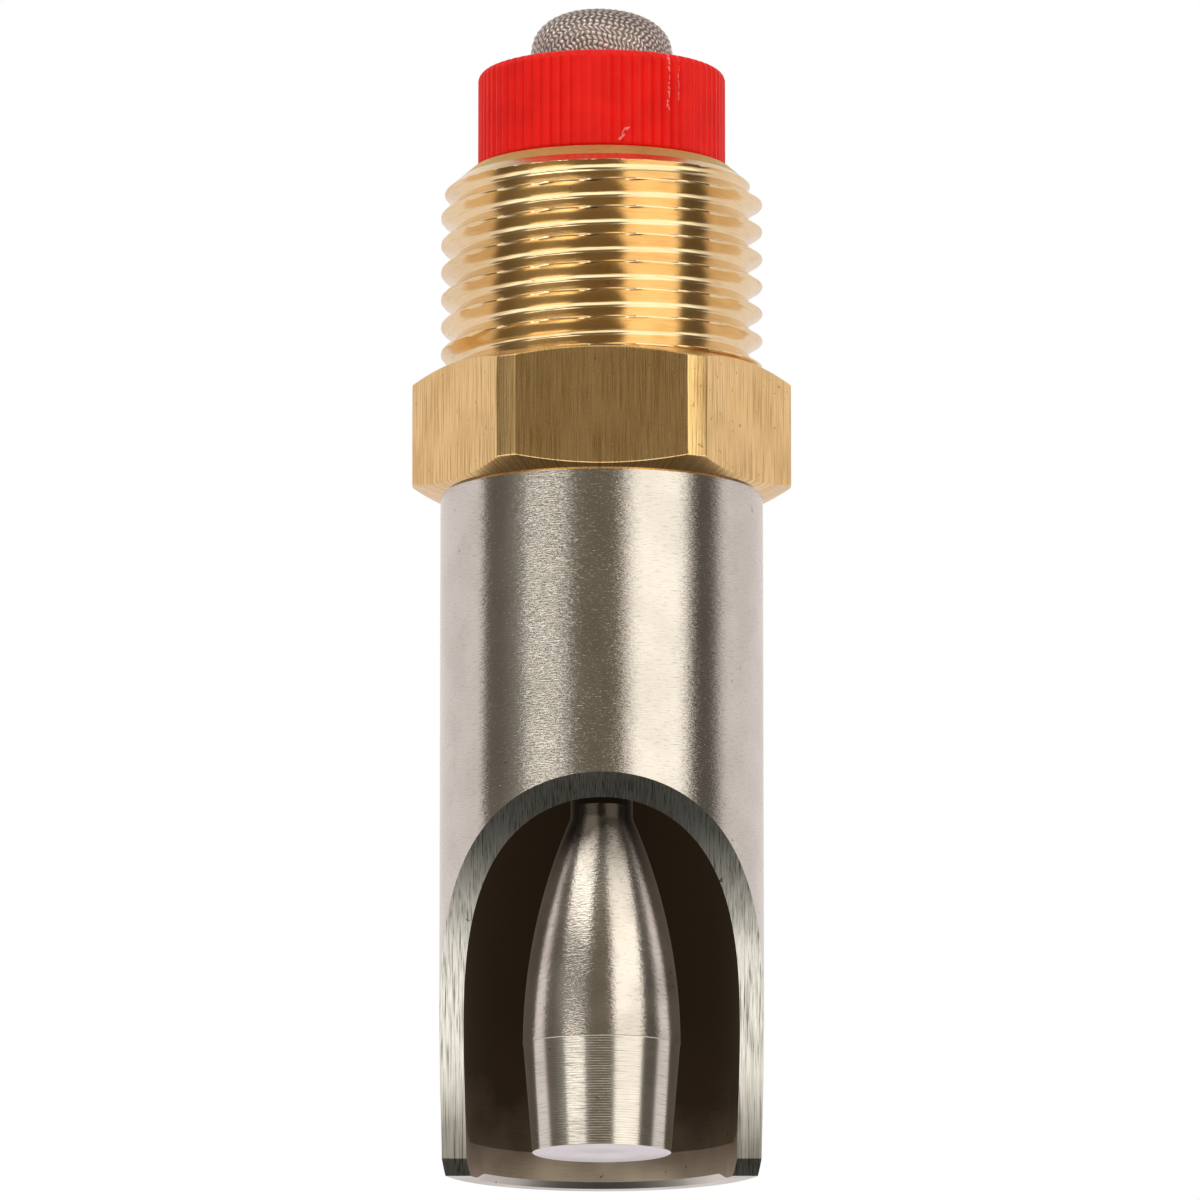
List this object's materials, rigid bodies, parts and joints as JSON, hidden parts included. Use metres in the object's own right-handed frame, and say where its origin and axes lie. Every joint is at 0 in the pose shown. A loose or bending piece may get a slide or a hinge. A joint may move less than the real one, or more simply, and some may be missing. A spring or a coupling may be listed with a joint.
{
  "type": "bite nipple drinker",
  "caption": "Brass and stainless bite-nipple drinking valve with male pipe thread, hexagon, cut-away shield tube, tilting bite pin, and a red screw-in flow regulator with a domed wire filter.",
  "frame": {"origin": "centre of the hexagon's upper face, on the valve's axis, where the male pipe thread starts", "axes": "+Z along the axis towards the water inlet, -Y out of the mouth of the shield"},
  "size_m": [0.0246, 0.022, 0.0765],
  "materials": {
    "brass": "machined, bright on the thread, brushed on the hexagon",
    "shield_steel": "polished round the tube with short fine scratches",
    "pin_steel": "turned, with fine rings on the lower cone",
    "inner_steel": "plain pressed",
    "spring_steel": "drawn wire",
    "seal_rubber": "matt",
    "red_plastic": "satin moulded",
    "white_plastic": "satin moulded",
    "woven_steel": "fine woven wire"
  },
  "bodies": {
    "housing": {"brass_body": "brass", "shield_tube": "shield_steel", "return_spring": "spring_steel"},
    "follower": {"spring_cup": "inner_steel"},
    "seal": {"valve_seal": "seal_rubber"},
    "pin": {"bite_pin": "pin_steel", "valve_disc": "inner_steel"},
    "filter": {"filter_screen": "woven_steel", "filter_ferrule": "inner_steel"},
    "regulator": {"regulator_cap": "red_plastic", "flow_nozzle": "white_plastic"}
  },
  "joints": [
    {"name": "pin_lift", "type": "slide", "parent": "housing", "child": "follower", "axis": [0, 0, 1], "range_m": [0, 0.002], "stiffness_N_per_m": 300, "springref_m": -0.004, "deforming": ["return_spring"]},
    {"name": "pin_spin", "type": "hinge", "parent": "follower", "child": "seal", "pos_m": [0, 0, -0.0021], "axis": [0, 0, 1], "continuous": true},
    {"name": "pin_tilt", "type": "hinge", "parent": "seal", "child": "pin", "pos_m": [0, 0, -0.0021], "axis": [1, 0, 0], "range_deg": [0, 4.8], "stiffness_Nm_per_rad": 0.05, "springref_deg": -5.73, "deforming": ["valve_seal"]},
    {"name": "regulator_travel", "type": "slide", "parent": "housing", "child": "filter", "axis": [0, 0, 1], "range_m": [0, 0.003], "deforming": ["return_spring"]},
    {"name": "regulator_turn", "type": "hinge", "parent": "filter", "child": "regulator", "pos_m": [0, 0, 0.0136], "axis": [0, 0, 1], "range_deg": [0, 720]}
  ],
  "couplings": [
    {"joint": "regulator_turn", "follows": "regulator_travel", "rad_per_m": 4188.8}
  ]
}
